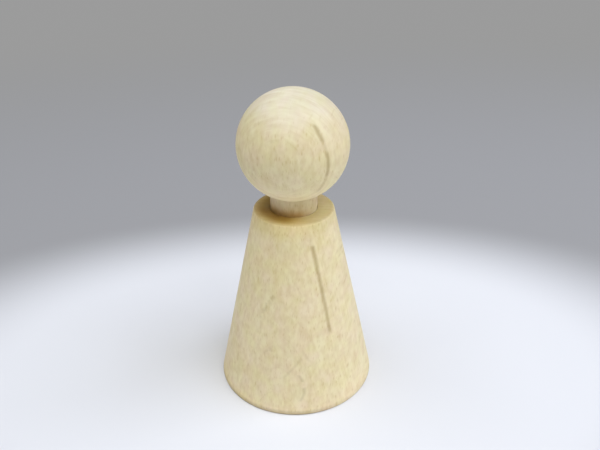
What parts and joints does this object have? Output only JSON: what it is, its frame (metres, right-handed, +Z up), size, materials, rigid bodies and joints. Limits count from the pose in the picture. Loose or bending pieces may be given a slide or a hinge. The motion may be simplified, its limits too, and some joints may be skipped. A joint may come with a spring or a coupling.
{
  "type": "peg doll",
  "caption": "Plain turned beech peg doll: a cone body with a flat foot and shoulder, a short straight neck and a ball head that turns on it.",
  "frame": {"origin": "centre of the foot, in the plane that the doll stands on", "axes": "+Z up the turning axis from the foot to the head; +X and +Y across it, with -Y towards the picture's camera"},
  "size_m": [0.0458, 0.0458, 0.0887],
  "materials": {
    "beech_cone": "raw sanded beech, short flecks and faint arched grain",
    "beech_dowel": "raw sanded beech, fine straight grain",
    "beech_ball": "raw sanded beech, short flecks, end grain at the crown"
  },
  "bodies": {
    "body": {"body": "beech_cone", "neck_dowel": "beech_dowel"},
    "head": {"head": "beech_ball"}
  },
  "joints": [
    {"name": "head_turn", "type": "hinge", "parent": "body", "child": "head", "pos_m": [0, 0, 0.0737], "axis": [0, 0, 1], "continuous": true}
  ]
}
